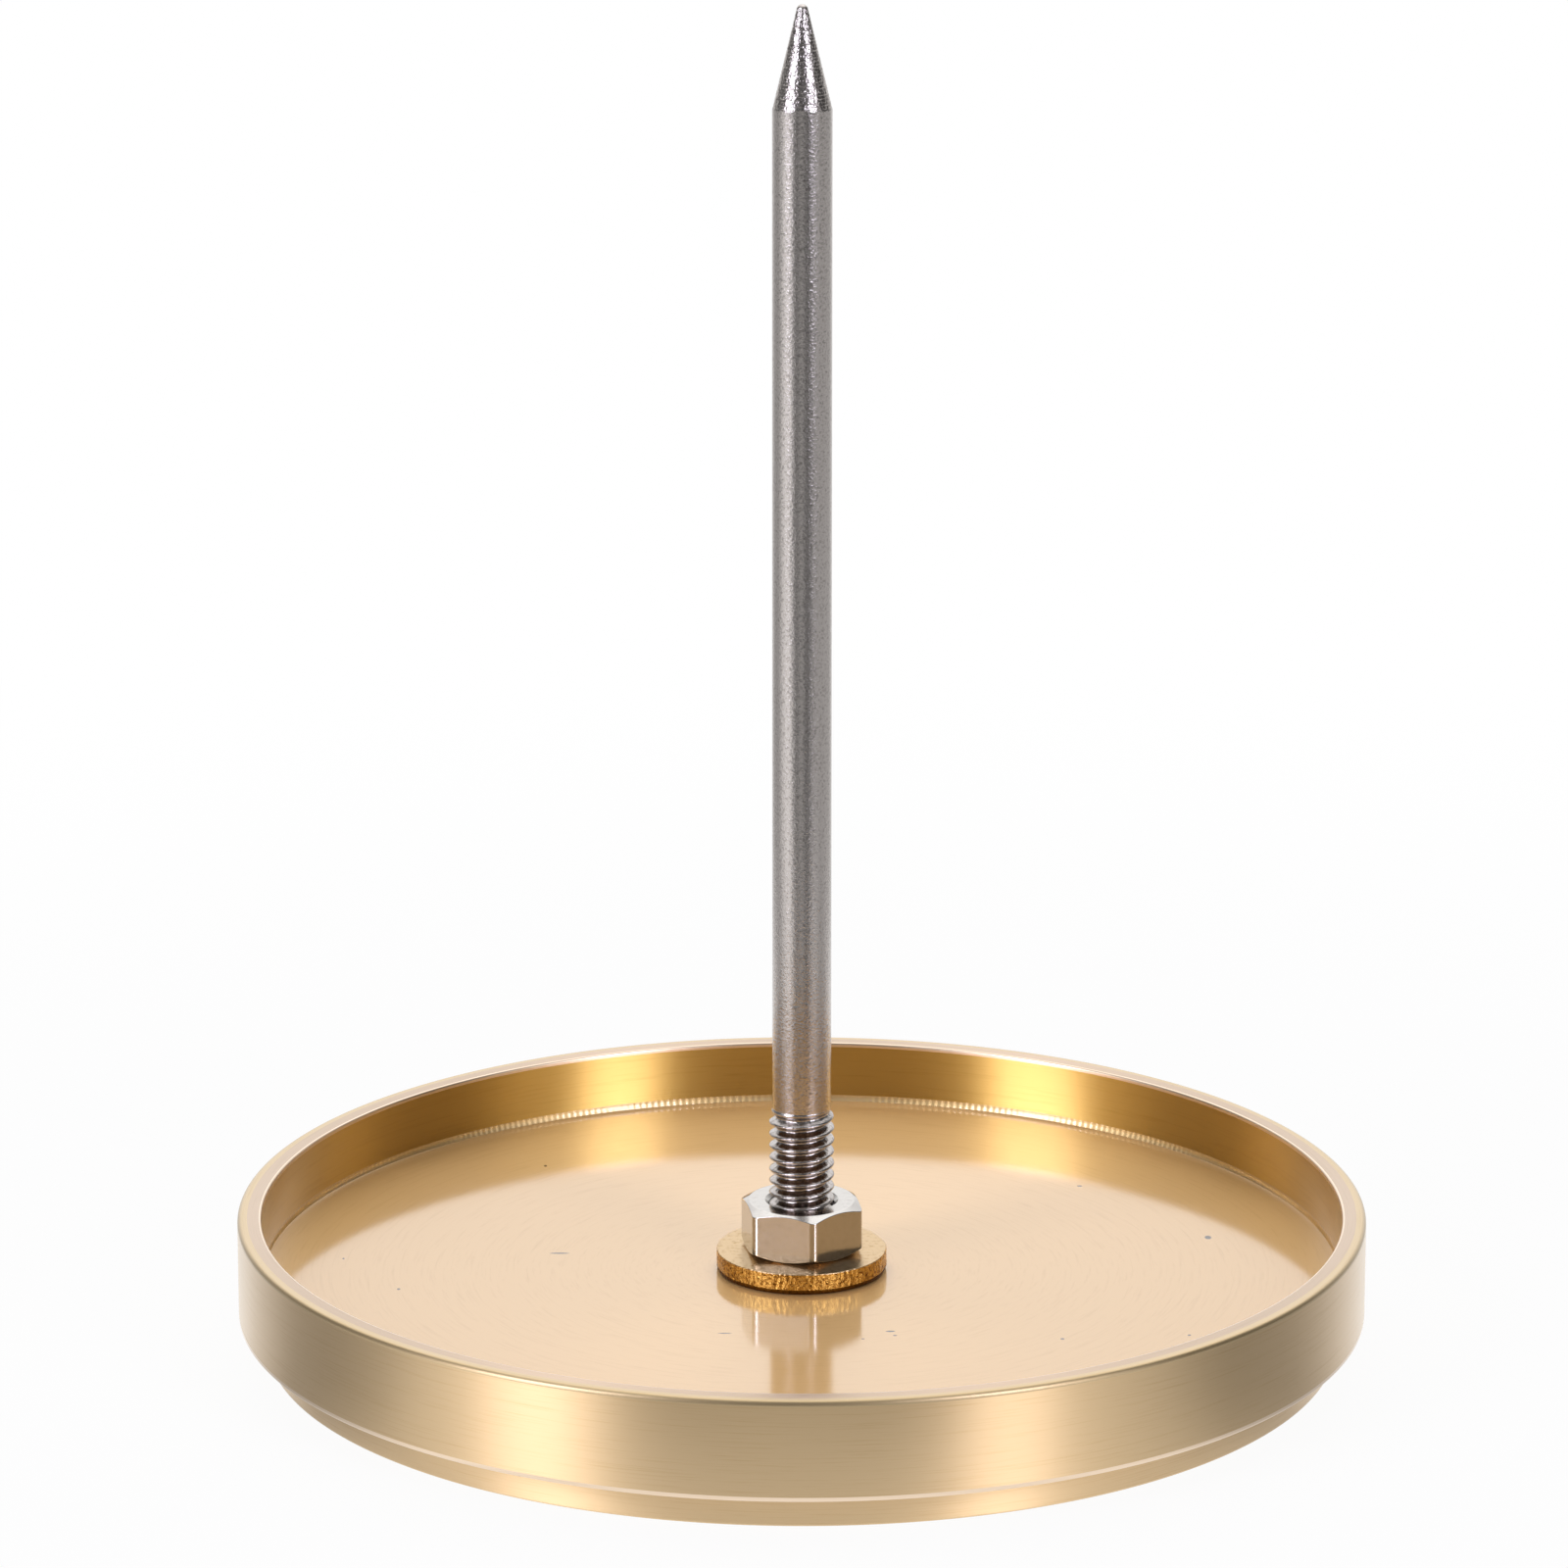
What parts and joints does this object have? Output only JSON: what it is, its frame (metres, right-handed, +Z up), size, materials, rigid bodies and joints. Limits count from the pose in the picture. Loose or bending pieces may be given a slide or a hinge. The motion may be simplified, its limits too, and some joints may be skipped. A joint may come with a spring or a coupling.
{
  "type": "bill spike",
  "caption": "Desk bill spike: a blunt-pointed stainless spike screwed upright into a low turned brass tray and locked by a hex nut over a brass washer, for stacking paper slips.",
  "frame": {"origin": "centre of the tray's foot, on the table", "axes": "+Z up along the spike; the picture looks along +Y"},
  "size_m": [0.104, 0.104, 0.125],
  "materials": {
    "tray_brass": "satin, turned in fine rings",
    "spike_steel": "satin, drawn",
    "washer_brass": "dull, punched",
    "nut_steel": "bright"
  },
  "bodies": {
    "tray": {"tray": "tray_brass"},
    "spike": {"spike": "spike_steel"},
    "washer": {"washer": "washer_brass"},
    "lock_nut": {"lock_nut": "nut_steel"}
  },
  "joints": [
    {"name": "spike_lift", "type": "slide", "parent": "tray", "child": "spike", "axis": [0, 0, 1], "range_m": [0, 0.01356]},
    {"name": "nut_turn", "type": "hinge", "parent": "spike", "child": "washer", "pos_m": [0, 0, 0.0086], "axis": [0, 0, 1], "range_deg": [0, 2520]},
    {"name": "nut_climb", "type": "slide", "parent": "washer", "child": "lock_nut", "axis": [0, 0, 1], "range_m": [0, 0.00792]}
  ],
  "couplings": [
    {"joint": "nut_climb", "follows": "nut_turn", "m_per_rad": 0.00017985}
  ]
}
